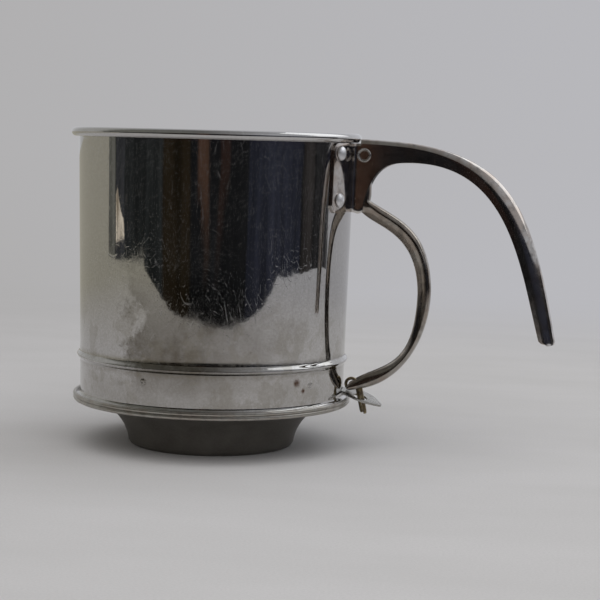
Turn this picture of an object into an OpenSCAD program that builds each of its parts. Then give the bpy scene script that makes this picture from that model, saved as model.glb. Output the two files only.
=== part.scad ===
// Squeeze-handle flour sifter.
// Millimetres, +Z up, +X towards the handle. The origin is on the axis of the
// cup, in the plane of the foot's lower edge, where the sifter stands.

/* [Cup] */
// Outer radius of the cup wall just above the bottom seam
cup_base_r = 54; // [53.5:0.1:54.5]
// Outer radius of the cup wall just below the rim
cup_top_r = 55.8; // [55.5:0.1:56.2]
// Height of the top of the rim above the foot
rim_top_z = 128.2; // [128:0.1:131]
// Thickness of the sheet that the cup is spun from
cup_sheet = 0.6; // [0.5:0.05:0.7]
// Radius of the rolled rim's section
rim_roll_r = 1.8; // [1.6:0.05:2]
// Height of the pressed bead's middle
bead_z = 36.5; // [36:0.1:40]
// Height of the pressed bead, from edge to edge
bead_h = 4.2; // [3:0.1:5]
// How far the pressed bead stands out of the wall
bead_out = 1.2; // [0.6:0.1:1.6]

/* [Foot funnel] */
// Outer radius of the funnel's outlet
foot_r = 33.7; // [33:0.1:34.5]
// Radius of the outlet's inner wall, the clear opening
outlet_r = 31.4; // [30.8:0.1:31.8]
// Height of the turned-in hem
hem_h = 6; // [4:0.5:8]
// Radius of the funnel's outer flare
flare_r = 20.3; // [20:0.05:20.4]

/* [Handle] */
// Outside width of the pressed handle channel
handle_w = 10; // [9.8:0.1:11]
// Thickness of the handle's sheet
handle_sheet = 0.9; // [0.7:0.05:1]
// Angle round the cup from the handle's middle to a flange's edge
flange_angle = 27; // [25:0.5:30]
// Angle round the cup from the handle's middle to the rivets
rivet_angle = 21.2; // [20:0.1:22.5]
// Heights of the lower and upper rivets
rivet_z = [102, 120.4];
// Radius of a dome-headed rivet's head
rivet_head_r = 2.8; // [2.4:0.1:3]

/* [Trigger] */
// Distance of the trigger's pivot from the axis of the cup
pivot_x = 60.6; // [60.4:0.1:60.9]
// Height of the trigger's pivot
pivot_z = 119.8; // [119.5:0.1:120]
// Outside width of the trigger channel
trigger_w = 7.4; // [7:0.1:7.5]
// Thickness of the trigger's sheet
trigger_sheet = 0.9; // [0.7:0.05:1]
// Width of the slit left between the trigger's two rolled lips
slit_w = 2.2; // [1.6:0.1:3]

/* [Agitator] */
// Distance of the crank pin from the axis of the cup
crank_r = 22; // [21.8:0.1:22.4]
// Angle of the crank pin at rest, from +X
crank_rest = 114.1; // [114:0.05:114.2]
// Radius that the wire loops sweep
sweep_r = 50; // [46:0.5:51]
// Number of wire loops
loops = 4; // [3:1:5]
// Radius of the agitator's wire
agitator_wire_r = 0.8; // [0.6:0.05:0.8]

/* [Hidden] */
$fn = 96;
eps = 0.01;

// Heights of the seam stack, from the bottom up
seam_z = 18;
lip_t = 0.6;
flange_z = seam_z + lip_t;
funnel_sheet = 0.7;
screen_z = flange_z + funnel_sheet;
screen_t = 0.7;
screen_top = screen_z + screen_t;
cup_flange_top = screen_top + cup_sheet;
seam_r = 56.9;
seam_lip_r = 0.85;
stack_r = 56.1;

// Cup wall
crease_r = 1.6;
crease_z = cup_flange_top + crease_r;
rim_z = rim_top_z - rim_roll_r;
rim_r = cup_top_r - cup_sheet + rim_roll_r;
function wall_r(z) = cup_base_r + (cup_top_r - cup_base_r) * (z - crease_z) / (rim_z - crease_z);
function bead(z) = abs(z - bead_z) < bead_h / 2 ? bead_out * pow(cos(180 * (z - bead_z) / bead_h), 2) : 0;

// Slot that the link passes through
link_z = 24;
link_t = 0.8;
slot_low = 22.6;
slot_high = 25.4;
slot_y = [-4.5, 12.5];

// Agitator stack, from the bridge down
bridge_z = 29;
bridge_t = 1;
bridge_w = 10;
bridge_tab_top = 34;
bridge_angle = -109;
stud_r = 2.5;
stud_low = 20.5;
hub_bore_r = 2.56;
hub_r = 4.5;
hub_low = 21.4;
hub_top = 28.4;
disc_low = 22.4;
disc_t = 0.8;
disc_r = 26;
crank_pin_r = 1.5;
crank = [crank_r * cos(crank_rest), crank_r * sin(crank_rest)];

// Link, in its own plane: x runs along it from the crank pin
link_angle = -16.3;
link_w = 8;
link_bend = 65.6;
link_drop = 19.5;
link_twist = 4;
link_pin_r = 3;
link_pin_at = [8.4, -0.4];
leaf_w = 12;
leaf_len = 17.3;

// Cotter pin: its point where it crosses the link, and its lean
pin_x = 61.6;
pin_z = 21.4;
pin_lean = 12;
pin_r = 1.35;
pin_eye_r = 2.2;
pin_wire_r = 0.65;
pin_eye_at = [-2.8, 0, 6];

// Curves, as Bezier control points in the XZ plane
grip_top = [[59.1, 126.2], [118.3, 125.6], [127.3, 106.3], [139.2, 47.2]];
grip_inner = [[75.1, 116.9], [117.4, 120.3], [123.3, 80.8], [131.9, 49.4]];
hub_edge = [[60.6, 98.7], [62.8, 107.8], [64.9, 115.8], [75.1, 116.9]];
lobe_edge = [[56.6, 97], [58.4, 96.3], [60.2, 96.6], [60.6, 98.7]];
trigger_outer_top = [[63.3, 101.6], [73.9, 94.6], [87.8, 92.1], [88.9, 66.3]];
trigger_outer_low = [[88.9, 66.3], [89.1, 44.8], [76.6, 25.2], [57, 24.2]];
trigger_inner_top = [[59.4, 98], [63, 90.7], [82.9, 91.7], [83.5, 64.4]];
trigger_inner_low = [[83.5, 64.4], [82.9, 32.2], [68.2, 35.4], [57.6, 27.6]];
function bezier(p, t) = pow(1 - t, 3) * p[0] + 3 * t * pow(1 - t, 2) * p[1]
    + 3 * t * t * (1 - t) * p[2] + pow(t, 3) * p[3];
function curve(p, n) = [for (i = [0 : n]) bezier(p, i / n)];
function tail(list) = [for (i = [1 : len(list) - 1]) list[i]];
function back(list) = [for (i = [len(list) - 1 : -1 : 0]) list[i]];
function arc(c, r, a, b, n) = [for (i = [0 : n]) c + r * [cos(a + (b - a) * i / n), sin(a + (b - a) * i / n)]];

// A plate cut to an outline in the XZ plane, from y to y + t
module plate(points, y, t) {
    translate([0, y + t, 0])
        rotate([90, 0, 0])
            linear_extrude(t)
                polygon(points);
}

// Puts its children on the cup's surface: their z runs out along a radius
module on_wall(angle, r, z) {
    rotate([0, 0, angle])
        translate([r, 0, z])
            rotate([0, 90, 0])
                children();
}

// The rivets' places, with the radius of the wall there
module at_rivets() {
    for (side = [-1, 1], z = rivet_z)
        on_wall(side * rivet_angle, wall_r(z), z)
            children();
}

module cup_profile() {
    low = bead_z - bead_h / 2;
    outer = [for (z = [low : 0.3 : low + bead_h]) [wall_r(z) + bead(z), z]];
    polygon(concat(
        [[stack_r, screen_top], [stack_r, cup_flange_top]],
        arc([cup_base_r + crease_r, crease_z], crease_r, 270, 180, 8),
        outer,
        arc([rim_r, rim_z], rim_roll_r - cup_sheet, 180, -120, 30),
        arc([rim_r, rim_z], rim_roll_r, -120, 180, 30),
        [for (p = back(outer)) [p[0] - cup_sheet, p[1]]],
        arc([cup_base_r + crease_r, crease_z], crease_r + cup_sheet, 180, 270, 8)
    ));
}

module cup_body() {
    color("silver")
        difference() {
            rotate_extrude() cup_profile();
            translate([cup_base_r - 10, slot_y[0], slot_low])
                cube([20, slot_y[1] - slot_y[0], slot_high - slot_low]);
            at_rivets()
                cylinder(r = 1.55, h = 12, center = true);
        }
}

module seam_ring() {
    color("silver")
        rotate_extrude()
            difference() {
                union() {
                    translate([seam_r - seam_lip_r, seam_z + 2.4]) circle(seam_lip_r);
                    translate([seam_r - seam_lip_r - 0.1, seam_z + 0.9]) circle(0.9);
                    translate([54.6, seam_z]) square([seam_r - seam_lip_r - 54.6, lip_t]);
                    translate([stack_r, seam_z + 0.3]) square([0.6, 2.6]);
                }
                translate([50, flange_z]) square([stack_r - 50, cup_flange_top - flange_z]);
                translate([50, cup_flange_top]) square([stack_r - 50 - 0.5, 3]);
            }
}

module foot_funnel() {
    flare_x = foot_r + flare_r + 0.1;
    flare_z = flange_z - flare_r;
    low_angle = 180 - asin((hem_h - flare_z) / (flare_r + funnel_sheet));
    color("dimgray")
        rotate_extrude()
            polygon(concat(
                [[stack_r, flange_z]],
                arc([flare_x, flare_z], flare_r, 90, 180 - asin((1.4 - flare_z) / flare_r), 24),
                arc([foot_r - 1.2, 1.2], 1.2, 0, -90, 6),
                [[outlet_r, 0], [outlet_r, hem_h], [outlet_r + 0.7, hem_h]],
                arc([flare_x, flare_z], flare_r + funnel_sheet, low_angle, 90, 24),
                [[stack_r, screen_z]]
            ));
}

module sieve_screen() {
    color("gainsboro")
        translate([0, 0, screen_z])
            cylinder(r = stack_r, h = screen_t);
}

module bridge_strap() {
    inner = [for (z = [bridge_z, bridge_tab_top]) wall_r(z) - cup_sheet - 0.05];
    color("lightgray")
        rotate([0, 0, bridge_angle])
            difference() {
                union() {
                    intersection() {
                        translate([-60, -bridge_w / 2, bridge_z]) cube([120, bridge_w, bridge_t]);
                        cylinder(r = inner[0], h = 60);
                    }
                    intersection() {
                        rotate_extrude()
                            polygon([
                                [inner[0] - bridge_t, bridge_z], [inner[0], bridge_z],
                                [inner[1], bridge_tab_top], [inner[1] - bridge_t, bridge_tab_top]
                            ]);
                        translate([-60, -bridge_w / 2, bridge_z]) cube([120, bridge_w, 20]);
                    }
                }
                cylinder(r = stud_r + 0.02, h = 60);
            }
}

module pivot_stud() {
    color("silver")
        rotate_extrude()
            polygon(concat(
                [[0, stud_low], [stud_r - 0.3, stud_low], [stud_r, stud_low + 0.3]],
                [[stud_r, bridge_z + bridge_t], [hub_r, bridge_z + bridge_t]],
                [for (i = [0 : 8]) [hub_r * cos(i * 11.25), bridge_z + bridge_t + 0.4 + 1.4 * sin(i * 11.25)]]
            ));
}

module ring(inner, outer, low, high) {
    translate([0, 0, low])
        difference() {
            cylinder(r = outer, h = high - low);
            translate([0, 0, -1]) cylinder(r = inner, h = high - low + 2);
        }
}

module upper_washer() {
    color("lightgray") ring(stud_r + 0.02, 5, 28.5, bridge_z);
}

module retaining_ring() {
    color("lightgray") ring(stud_r + 0.02, 4.4, 20.6, 21.3);
}

module agitator_hub() {
    color("gainsboro") ring(hub_bore_r, hub_r, hub_low, hub_top);
}

module agitator_disc() {
    color("silver")
        difference() {
            ring(hub_r + 0.01, disc_r, disc_low, disc_low + disc_t);
            translate([crank[0], crank[1], 0]) cylinder(r = crank_pin_r + 0.02, h = 60);
        }
}

// One hairpin of wire: two spokes joined by an arc at the rim
module wire_loop(half_angle) {
    rotate_extrude(angle = 2 * half_angle)
        translate([sweep_r, 0]) circle(agitator_wire_r, $fn = 24);
    for (a = [0, 2 * half_angle])
        rotate([0, 0, a]) {
            translate([sweep_r, 0, 0]) sphere(agitator_wire_r + 0.05, $fn = 24);
            translate([hub_r + 1, 0, 0]) rotate([0, 90, 0])
                cylinder(r = agitator_wire_r, h = sweep_r - hub_r - 1, $fn = 24);
        }
}

module agitator_loops() {
    half_angle = 12;
    color("gainsboro")
        translate([0, 0, disc_low - agitator_wire_r - eps])
            for (i = [0 : loops - 1])
                rotate([0, 0, i * 360 / loops + 20]) wire_loop(half_angle);
}

module crank_pin() {
    color("silver")
        translate([crank[0], crank[1], 0])
            rotate_extrude($fn = 48)
                polygon([
                    [0, disc_low], [crank_pin_r, disc_low], [crank_pin_r, link_z + 0.5],
                    [2.9, link_z + 0.5], [2.9, link_z + 0.9], [2.3, link_z + 1.3], [0, link_z + 1.5]
                ]);
}

module link_washer() {
    low = disc_low + disc_t;
    color("lightgray")
        translate([crank[0], crank[1], 0]) ring(crank_pin_r + 0.02, 2.8, low, low + 0.3);
}

// Outline of the leaf, from the bend to its tip, with its middle to one side
function leaf() = let(w = leaf_w / 2, m = 1.6) [
    [0, -link_w / 2], [3.5, m - w + 0.4], [8, m - w], [12, m - w + 1], [14.5, m - w + 2.7],
    each arc([leaf_len - 1.8, m], 1.8, -60, 60, 8),
    [14.5, m + w - 2.7], [12, m + w - 1], [8, m + w], [3.5, m + w - 1.2], [0, link_w / 2]
];

module drive_link() {
    color("silver")
        translate([crank[0], crank[1], link_z])
            rotate([0, 0, link_angle]) {
                difference() {
                    translate([0, 0, -link_t / 2]) {
                        cylinder(r = link_w / 2 + 0.5, h = link_t);
                        translate([0, -link_w / 2, 0]) cube([link_bend + 0.1, link_w, link_t]);
                    }
                    cylinder(r = crank_pin_r + 0.06, h = 10, center = true);
                }
                translate([link_bend, 0, 0])
                    rotate([link_twist, link_drop, 0])
                        difference() {
                            translate([0, 0, -link_t / 2]) linear_extrude(link_t) polygon(leaf());
                            translate(link_pin_at) cylinder(r = link_pin_r, h = 10, center = true);
                        }
            }
}

// The sheet between two outlines of the handle's side, before it meets the cup
function grip_side() = concat(
    [[50, 97], [56.6, 97]],
    tail(curve(lobe_edge, 6)),
    tail(curve(hub_edge, 14)),
    tail(curve(grip_inner, 24)),
    [[132.4, 47.6], [133.9, 46.4], [138.9, 45.9]],
    back(curve(grip_top, 30)),
    [[59.1, 124.4], [50, 124.4]]
);

// The web is the top of the same outline, one sheet deep
function grip_web() = let(outer = curve(grip_top, 30)) concat(
    outer,
    [[138.9, 45.9], [138, 46.1]],
    [for (i = [30 : -1 : 0]) let(d = outer[min(i + 1, 30)] - outer[max(i - 1, 0)])
        outer[i] + handle_sheet * [d[1], -d[0]] / norm(d)]
);

module flange(side) {
    outer_y = wall_r(110) * sin(flange_angle);
    corner = 3;
    in = 0.03;
    intersection() {
        rotate([0, 0, side > 0 ? 0 : -flange_angle - 6])
            rotate_extrude(angle = flange_angle + 6)
                polygon([
                    [wall_r(96) + in, 96], [wall_r(96) + in + handle_sheet, 96],
                    [wall_r(126) + in + handle_sheet, 126], [wall_r(126) + in, 126]
                ]);
        rotate([90, 0, 90])
            linear_extrude(80) {
                for (z = [97 + corner, 124.4 - corner])
                    translate([side * (outer_y - corner), z]) circle(corner, $fn = 48);
                translate([side > 0 ? handle_w / 2 - handle_sheet : -outer_y + corner, 97])
                    square([outer_y - corner - handle_w / 2 + handle_sheet, 27.4]);
                translate([side > 0 ? handle_w / 2 : -outer_y, 97 + corner])
                    square([outer_y - handle_w / 2, 27.4 - 2 * corner]);
            }
    }
}

module handle() {
    color("silver")
        difference() {
            union() {
                difference() {
                    union() {
                        plate(grip_side(), -handle_w / 2, handle_sheet);
                        plate(grip_side(), handle_w / 2 - handle_sheet, handle_sheet);
                        plate(grip_web(), -handle_w / 2, handle_w);
                    }
                    rotate_extrude()
                        polygon([
                            [0, 90], [wall_r(90) + 0.03, 90], [wall_r(124.5) + 0.03, 124.5],
                            [rim_r + rim_roll_r + 0.03, 124.5], [rim_r + rim_roll_r + 0.03, 130], [0, 130]
                        ]);
                }
                flange(-1);
                flange(1);
            }
            at_rivets()
                cylinder(r = 1.55, h = 12, center = true);
            translate([pivot_x, 0, pivot_z]) rotate([90, 0, 0])
                cylinder(r = 2.02, h = 20, center = true);
        }
}

module handle_rivets() {
    base = handle_sheet + 0.08;
    color("gainsboro")
        at_rivets()
            rotate_extrude($fn = 48)
                polygon(concat(
                    [[0, -cup_sheet - 0.95], [1.9, -cup_sheet - 0.95], [2.4, -cup_sheet - 0.5]],
                    [[2.4, -cup_sheet - 0.12], [1.5, -cup_sheet - 0.12], [1.5, base], [rivet_head_r, base]],
                    [for (i = [0 : 8]) [rivet_head_r * cos(i * 11.25), base + 0.3 + 1.5 * sin(i * 11.25)]]
                ));
}

module pivot_rivet() {
    head = handle_w / 2 + 0.02;
    color("gainsboro")
        translate([pivot_x, 0, pivot_z])
            rotate([90, 0, 0])
                rotate_extrude($fn = 64)
                    polygon([
                        [1.3, -head - 0.5], [1.6, -head - 0.8], [2.3, -head - 0.8], [2.85, -head - 0.4], [2.85, -head],
                        [2, -head], [2, head], [2.85, head], [2.85, head + 0.4],
                        [2.3, head + 0.8], [1.6, head + 0.8], [1.3, head + 0.5]
                    ]);
}

// Torsion spring: a leg up to the handle's web, the coil, a leg down the trigger
module return_spring() {
    wire_r = 0.4;
    coil_r = 3.1;
    turns = 4.25;
    steps = 24;
    count = turns * steps;
    width = 4.2;
    up_leg = [[6.5, -width / 2, 4.3], [1.6, -width / 2, 3.6]];
    down_leg = [[2.5, width / 2, -3.4], [1.6, width / 2, -7], [1.6, width / 2, -11]];
    coil = [for (i = [0 : count]) let(a = 90 - 360 * turns * i / count)
        [coil_r * cos(a), -width / 2 + width * i / count, coil_r * sin(a)]];
    path = concat(up_leg, coil, down_leg);
    sides = 8;
    last = len(path) - 1;
    function along(i) = let(d = path[min(i + 1, last)] - path[max(i - 1, 0)]) d / norm(d);
    function across(i) = let(c = cross(along(i), [0, 1, 0])) c / norm(c);
    points = [for (i = [0 : last], k = [0 : sides - 1])
        path[i] + wire_r * (cos(k * 360 / sides) * across(i)
            + sin(k * 360 / sides) * cross(along(i), across(i)))];
    faces = concat(
        [[for (k = [0 : sides - 1]) k]],
        [for (i = [0 : last - 1], k = [0 : sides - 1])
            let(n = (k + 1) % sides)
            [i * sides + n, i * sides + k, (i + 1) * sides + k, (i + 1) * sides + n]],
        [[for (k = [sides - 1 : -1 : 0]) last * sides + k]]
    );
    color("gray")
        translate([pivot_x, 0, pivot_z])
            polyhedron(points, faces, convexity = 10);
}

// Outline of the trigger's cheeks, with the ears round the pivot
function cheek() = concat(
    arc([pivot_x, pivot_z], 4.1, 180, 0, 16),
    [[pivot_x + 4.1, 116], [63.6, 112], [63.6, 103]],
    curve(trigger_outer_top, 16),
    tail(curve(trigger_outer_low, 18)),
    [[56.2, 25], [56.4, 26.2]],
    back(curve(trigger_inner_low, 18)),
    tail(back(curve(trigger_inner_top, 14))),
    [[57.4, 101], [56.9, 110]]
);

// A strip of sheet that lies inside a curve, t deep
function strip(points, t) = let(last = len(points) - 1) concat(points,
    [for (i = [last : -1 : 0]) let(d = points[min(i + 1, last)] - points[max(i - 1, 0)])
        points[i] + t * [d[1], -d[0]] / norm(d)]);

module trigger() {
    back_line = concat([[63.6, 112], [63.6, 107], [63.6, 103]],
        curve(trigger_outer_top, 16), tail(curve(trigger_outer_low, 18)));
    lips = back(concat(curve(trigger_inner_top, 14),
        [for (i = [1 : 9]) bezier(trigger_inner_low, i / 18)]));
    lip_w = (trigger_w - slit_w) / 2;
    color("silver")
        difference() {
            union() {
                for (y = [-trigger_w / 2, trigger_w / 2 - trigger_sheet])
                    plate(cheek(), y, trigger_sheet);
                plate(strip(back_line, trigger_sheet), -trigger_w / 2, trigger_w);
                for (y = [-trigger_w / 2, slit_w / 2])
                    plate(strip(lips, trigger_sheet), y, lip_w);
            }
            translate([pivot_x, 0, pivot_z]) rotate([90, 0, 0])
                cylinder(r = 2.06, h = 20, center = true);
            translate([pin_x, 0, pin_z]) rotate([0, -pin_lean, 0]) {
                cylinder(r = pin_r + 0.1, h = 9);
                translate(pin_eye_at) rotate([90, 0, 0])
                    cylinder(r = pin_eye_r + pin_wire_r + 0.12, h = 2 * pin_wire_r + 0.24, center = true);
            }
        }
}

module cotter_pin() {
    color("darkgoldenrod")
        translate([pin_x, 0, pin_z])
            rotate([0, -pin_lean, 0]) {
                difference() {
                    translate([0, 0, -7]) cylinder(r = pin_r, h = 12.4, $fn = 48);
                    translate([-0.1, -3, -8]) cube([0.2, 6, 10.5]);
                }
                translate(pin_eye_at) rotate([90, 0, 0])
                    rotate_extrude($fn = 48) translate([pin_eye_r, 0]) circle(pin_wire_r, $fn = 24);
            }
}

cup_body();
seam_ring();
foot_funnel();
sieve_screen();
bridge_strap();
pivot_stud();
upper_washer();
retaining_ring();
agitator_hub();
agitator_disc();
agitator_loops();
crank_pin();
link_washer();
drive_link();
handle();
handle_rivets();
pivot_rivet();
return_spring();
trigger();
cotter_pin();
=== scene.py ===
"""Hand-squeeze flour sifter: smooth pieces, metals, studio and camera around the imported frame.

Lengths here are millimetres and angles are degrees; make_piece() turns them into metres.
"""
import bmesh
import bpy
from math import asin, atan2, cos, degrees, hypot, pi, radians, sin, sqrt
from mathutils import Matrix, Vector, noise


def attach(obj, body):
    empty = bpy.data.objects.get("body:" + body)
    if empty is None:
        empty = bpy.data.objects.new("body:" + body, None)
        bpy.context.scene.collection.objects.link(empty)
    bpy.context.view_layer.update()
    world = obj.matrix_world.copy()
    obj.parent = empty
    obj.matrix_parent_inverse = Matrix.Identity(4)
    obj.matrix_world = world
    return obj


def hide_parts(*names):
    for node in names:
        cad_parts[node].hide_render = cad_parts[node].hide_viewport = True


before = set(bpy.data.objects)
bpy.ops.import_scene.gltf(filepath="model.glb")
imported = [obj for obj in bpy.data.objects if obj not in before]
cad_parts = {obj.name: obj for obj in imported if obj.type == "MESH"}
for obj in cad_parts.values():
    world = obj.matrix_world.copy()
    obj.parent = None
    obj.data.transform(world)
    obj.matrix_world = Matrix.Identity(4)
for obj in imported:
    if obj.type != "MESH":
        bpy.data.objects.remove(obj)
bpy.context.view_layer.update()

MM = 0.001
SMOOTH_ANGLE = 38
EDGE_ANGLE = 50

# ---------------------------------------------------------------- driving sizes
WALL_LOW_Z = 22.2
WALL_TOP_Z = 126.4
WALL_LOW_R = 54.0
WALL_TOP_R = 55.8
CUP_SHEET = 0.6
ROLL_R = 1.8
ROLL_CENTRE_R = WALL_TOP_R - CUP_SHEET + ROLL_R
BEAD_Z = 36.5
BEAD_H = 4.2
BEAD_OUT = 1.2
CREASE_R = 1.6
STACK_R = 56.1
SLOT_Z = (22.6, 25.4)
SLOT_Y = (-4.5, 12.5)
OVERALL_Z = 128.0

HANDLE_W = 10.0
HANDLE_SHEET = 0.9
FLANGE_GAP = 0.03
FLANGE_LOW_Z = 97.0
FLANGE_TOP_Z = 124.4
FLANGE_ANGLE = 27.0
RIVET_ANGLE = 21.2
RIVET_Z = (102.0, 120.4)
PIVOT = (60.6, 119.8)
# Bezier control points in the XZ plane. The handle's and the trigger's were fitted by least
# squares to points traced on the photo, then touched up.
GRIP_TOP = ((59.1, 126.2), (118.3, 125.6), (127.3, 106.3), (139.2, 47.2))
GRIP_INNER = ((75.1, 116.9), (117.4, 120.3), (123.3, 80.8), (131.9, 49.4))
HUB_EDGE = ((60.6, 98.7), (62.8, 107.8), (64.9, 115.8), (75.1, 116.9))
LOBE_CENTRE = (58.6, 98.4)
LOBE_R = 2.05

TRIGGER_W = 7.4
SLIT_W = 2.2
EAR_R = 4.1
TRIGGER_OUTER = (((63.3, 101.6), (73.9, 94.6), (87.8, 92.1), (88.9, 66.3)),
                 ((88.9, 66.3), (89.1, 44.8), (76.6, 25.2), (57.0, 24.2)))
TRIGGER_INNER = (((59.4, 98.0), (63.0, 90.7), (82.9, 91.7), (83.5, 64.4)),
                 ((83.5, 64.4), (82.9, 32.2), (68.2, 35.4), (57.6, 27.6)))

CRANK_R = 22.0
CRANK_REST = 114.1
LINK_Z = 24.0
LINK_T = 0.8
LINK_ANGLE = -16.3
LINK_W = 8.0
LINK_BEND = 65.6
LINK_DROP = 19.5
LINK_TWIST = 4.0
LEAF_W = 12.0
LEAF_LEN = 17.3
LEAF_MIDDLE = 1.6
LINK_HOLE_AT = (8.4, -0.4)
LINK_HOLE_R = 3.0

PIN_AT = (61.6, 0.0, 21.4)
PIN_LEAN = 12.0
PIN_R = 1.35
PIN_EYE_AT = (-2.8, 6.0)
PIN_EYE_R = 2.2
PIN_WIRE_R = 0.64

# The camera. All but its azimuth come from a least-squares fit to edges read off the photo.
CAMERA_AZIMUTH = 10.0
CAMERA_FROM_AXIS = 686.9
CAMERA_HEIGHT = 125.08
CAMERA_PITCH = 5.44
CAMERA_PAN = 2.95
CAMERA_ROLL = 1.49
CAMERA_LENS = 100.6


# ---------------------------------------------------------------- mesh helpers
def unit(angle):
    """The unit vector at an angle in degrees, as a pair."""
    return cos(radians(angle)), sin(radians(angle))


def arc(centre, r, start, end, count):
    """Points along an arc, from one angle to another."""
    steps = [start + (end - start) * i / count for i in range(count + 1)]
    return [(centre[0] + r * unit(a)[0], centre[1] + r * unit(a)[1]) for a in steps]


def spread(low, high, count):
    """Evenly spread numbers, both ends included."""
    return [low + (high - low) * i / count for i in range(count + 1)]


def mix(a, b, t):
    return a + (b - a) * t


def smooth(t):
    t = min(max(t, 0.0), 1.0)
    return t * t * (3 - 2 * t)


def bezier(points, t):
    """A point of a cubic Bezier curve in the XZ plane."""
    u = 1 - t
    weights = (u ** 3, 3 * t * u * u, 3 * t * t * u, t ** 3)
    return tuple(sum(w * p[k] for w, p in zip(weights, points)) for k in range(2))


def wall_r(z):
    """The cup wall's outer radius at a height."""
    return mix(WALL_LOW_R, WALL_TOP_R, (z - WALL_LOW_Z) / (WALL_TOP_Z - WALL_LOW_Z))


def make_piece(name, shape, body, slot, nodes, sharp=SMOOTH_ANGLE, look=None):
    """A smooth mesh piece in the row frame that rides on a body and replaces CAD nodes.

    Its material is the slot's own, unless look names another.
    """
    points, faces = shape
    mesh = bpy.data.meshes.new(name)
    mesh.from_pydata([Vector(p) * MM for p in points], [], faces)
    mesh.validate()
    piece = bpy.data.objects.new(name, mesh)
    bpy.context.scene.collection.objects.link(piece)
    mesh.materials.append(MATERIALS[look or slot])
    finish_mesh(piece, sharp)
    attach(piece, body)
    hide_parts(*nodes)
    return piece


def shade_smooth(piece, sharp=SMOOTH_ANGLE):
    piece.data.shade_smooth()
    piece.data.set_sharp_from_angle(angle=radians(sharp))


def finish_mesh(piece, sharp):
    """Welds doubles, points the faces outward and shades smooth up to an angle."""
    shape = bmesh.new()
    shape.from_mesh(piece.data)
    bmesh.ops.remove_doubles(shape, verts=shape.verts, dist=0.002 * MM)
    bmesh.ops.dissolve_degenerate(shape, edges=shape.edges, dist=0.001 * MM)
    bmesh.ops.recalc_face_normals(shape, faces=shape.faces)
    shape.to_mesh(piece.data)
    shape.free()
    shade_smooth(piece, sharp)


def apply_modifiers(piece):
    """Replaces the piece's mesh by the one that its modifiers make."""
    bpy.context.view_layer.update()
    shown = piece.evaluated_get(bpy.context.evaluated_depsgraph_get())
    piece.data = bpy.data.meshes.new_from_object(shown)
    piece.modifiers.clear()


def thicken(piece, sheet, side, edge):
    """Turns an open sheet into one of real thickness, with its cut edges rounded."""
    solid = piece.modifiers.new("sheet", "SOLIDIFY")
    solid.thickness = sheet * MM
    solid.offset = side
    solid.use_even_offset = True
    apply_modifiers(piece)
    bevel = piece.modifiers.new("edges", "BEVEL")
    bevel.width = edge * MM
    bevel.segments = 2
    bevel.limit_method = "ANGLE"
    bevel.angle_limit = radians(EDGE_ANGLE)
    bevel.miter_outer = "MITER_ARC"
    apply_modifiers(piece)
    shade_smooth(piece)


def cut(piece, cutters):
    """Cuts straight round holes: each cutter is a centre, a direction, a radius and a length."""
    shape = bmesh.new()
    for centre, direction, radius, length in cutters:
        turn = Vector(direction).to_track_quat("Z", "Y").to_matrix().to_4x4()
        seat = Matrix.Translation(Vector(centre) * MM) @ turn
        bmesh.ops.create_cone(shape, cap_ends=True, segments=64, radius1=radius * MM,
                              radius2=radius * MM, depth=length * MM, matrix=seat)
    mesh = bpy.data.meshes.new("cutter")
    shape.to_mesh(mesh)
    shape.free()
    cutter = bpy.data.objects.new("cutter", mesh)
    bpy.context.scene.collection.objects.link(cutter)
    boolean = piece.modifiers.new("holes", "BOOLEAN")
    boolean.operation = "DIFFERENCE"
    boolean.solver = "EXACT"
    boolean.object = cutter
    apply_modifiers(piece)
    bpy.data.objects.remove(cutter)
    bpy.data.meshes.remove(mesh)
    shade_smooth(piece)


def lathe(profile, angles, shift=None):
    """Points and faces of a closed profile of (r, z) turned about Z through every angle.

    shift(r, angle, z) may move a point outward.
    """
    rows = len(profile)
    points = []
    for a in angles:
        c, s = unit(a)
        for r, z in profile:
            out = r + (shift(r, a, z) if shift else 0.0)
            points.append((out * c, out * s, z))
    faces = []
    for i in range(len(angles)):
        j = (i + 1) % len(angles)
        for k in range(rows):
            n = (k + 1) % rows
            faces.append((i * rows + k, j * rows + k, j * rows + n, i * rows + n))
    return points, faces


def turned(profile, segments, centre, direction):
    """A profile of (r, height) turned about an axis anywhere; r may be 0 at its ends."""
    turn = Vector(direction).to_track_quat("Z", "Y").to_matrix()
    points = []
    for i in range(segments):
        c, s = unit(360 * i / segments)
        points += [Vector(centre) + turn @ Vector((r * c, r * s, h)) for r, h in profile]
    rows = len(profile)
    faces = []
    for i in range(segments):
        j = (i + 1) % segments
        for k in range(rows - 1):
            faces.append((i * rows + k, j * rows + k, j * rows + k + 1, i * rows + k + 1))
    return points, faces


def tube(path, radius, sides, closed=False):
    """A round wire along a path, with flat ends unless it closes on itself."""
    path = [Vector(p) for p in path]
    count = len(path)
    points = []
    across = None
    for i, p in enumerate(path):
        ahead = path[(i + 1) % count] if closed or i < count - 1 else p
        behind = path[i - 1] if closed or i > 0 else p
        along = (ahead - behind).normalized()
        if across is None:
            across = along.orthogonal().normalized()
        across = (across - along * across.dot(along)).normalized()
        up = along.cross(across)
        for k in range(sides):
            c, s = unit(360 * k / sides)
            points.append(p + radius * (c * across + s * up))
    faces = []
    for i in range(count if closed else count - 1):
        j = (i + 1) % count
        for k in range(sides):
            n = (k + 1) % sides
            faces.append((i * sides + k, i * sides + n, j * sides + n, j * sides + k))
    if not closed:
        faces.append(tuple(range(sides - 1, -1, -1)))
        faces.append(tuple(range((count - 1) * sides, count * sides)))
    return points, faces


def join(*shapes):
    """Several (points, faces) as one."""
    points, faces = [], []
    for more_points, more_faces in shapes:
        first = len(points)
        points += more_points
        faces += [tuple(first + i for i in f) for f in more_faces]
    return points, faces


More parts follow.
